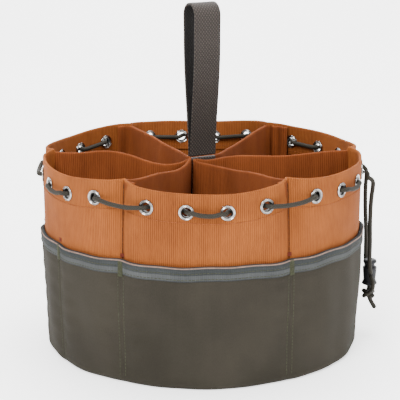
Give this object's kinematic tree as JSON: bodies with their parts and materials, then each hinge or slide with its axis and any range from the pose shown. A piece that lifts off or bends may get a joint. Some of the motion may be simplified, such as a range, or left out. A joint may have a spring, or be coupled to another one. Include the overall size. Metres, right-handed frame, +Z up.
{
  "type": "tool bucket organizer",
  "caption": "Round canvas tool bag with inner compartments, outer pockets, a drawstring rim with cord lock, and a webbing carrying loop.",
  "frame": {"origin": "middle of the underside, on the surface that the bag stands on", "axes": "+Z up; -Y towards the front; +X towards the side where the drawstring's ends hang"},
  "size_m": [0.3067, 0.304, 0.3005],
  "materials": {
    "canvas": "ribbed cotton canvas, matt",
    "pocket_cloth": "plain dense canvas, matt",
    "binding_tape": "ribbed grosgrain tape",
    "board": "plain fibreboard-like sheet",
    "eyelet_metal": "bright nickel plate",
    "cord": "braided polyester",
    "webbing": "woven webbing with a patterned face",
    "lock_plastic": "moulded, satin",
    "spring_steel": "bright wire"
  },
  "bodies": {
    "root": {"wall_panel_1": "canvas", "wall_panel_2": "canvas", "wall_panel_3": "canvas", "wall_panel_4": "canvas", "wall_panel_5": "canvas", "wall_panel_6": "canvas", "rim_facing": "canvas", "base_panel": "pocket_cloth", "base_board": "board", "base_lining": "canvas", "divider_1": "canvas", "divider_2": "canvas", "divider_3": "canvas", "divider_4": "canvas", "divider_5": "canvas", "divider_6": "canvas", "pocket_1": "pocket_cloth", "pocket_2": "pocket_cloth", "pocket_3": "pocket_cloth", "pocket_4": "pocket_cloth", "pocket_5": "pocket_cloth", "pocket_6": "pocket_cloth", "pocket_7": "pocket_cloth", "pocket_8": "pocket_cloth", "pocket_binding": "binding_tape", "grommet_eyelets": "eyelet_metal", "grommet_washers": "eyelet_metal", "drawstring": "cord", "handle_anchor": "webbing"},
    "handle": {"handle_strap": "webbing"},
    "tails": {"tail_front": "cord", "tail_back": "cord", "tail_knot": "cord"},
    "cord_lock": {"lock_barrel": "lock_plastic", "lock_spring": "spring_steel"},
    "lock_button": {"lock_plunger": "lock_plastic"}
  },
  "joints": [
    {"name": "handle_swing", "type": "hinge", "parent": "root", "child": "handle", "pos_m": [0, 0, 0.166], "axis": [0.8988, 0.4384, 0], "range_deg": [-75, 75]},
    {"name": "tails_swing", "type": "hinge", "parent": "root", "child": "tails", "pos_m": [0.1415, 0, 0.1557], "axis": [0, -1, 0], "range_deg": [0, 60], "deforming": ["tail_front", "tail_back"]},
    {"name": "cord_lock_slide", "type": "slide", "parent": "tails", "child": "cord_lock", "axis": [0, 0, 1], "range_m": [0, 0.04]},
    {"name": "lock_press", "type": "slide", "parent": "cord_lock", "child": "lock_button", "axis": [0, 0, -1], "range_m": [0, 0.0032], "stiffness_N_per_m": 400, "springref_m": -0.002, "deforming": ["lock_spring"]}
  ]
}
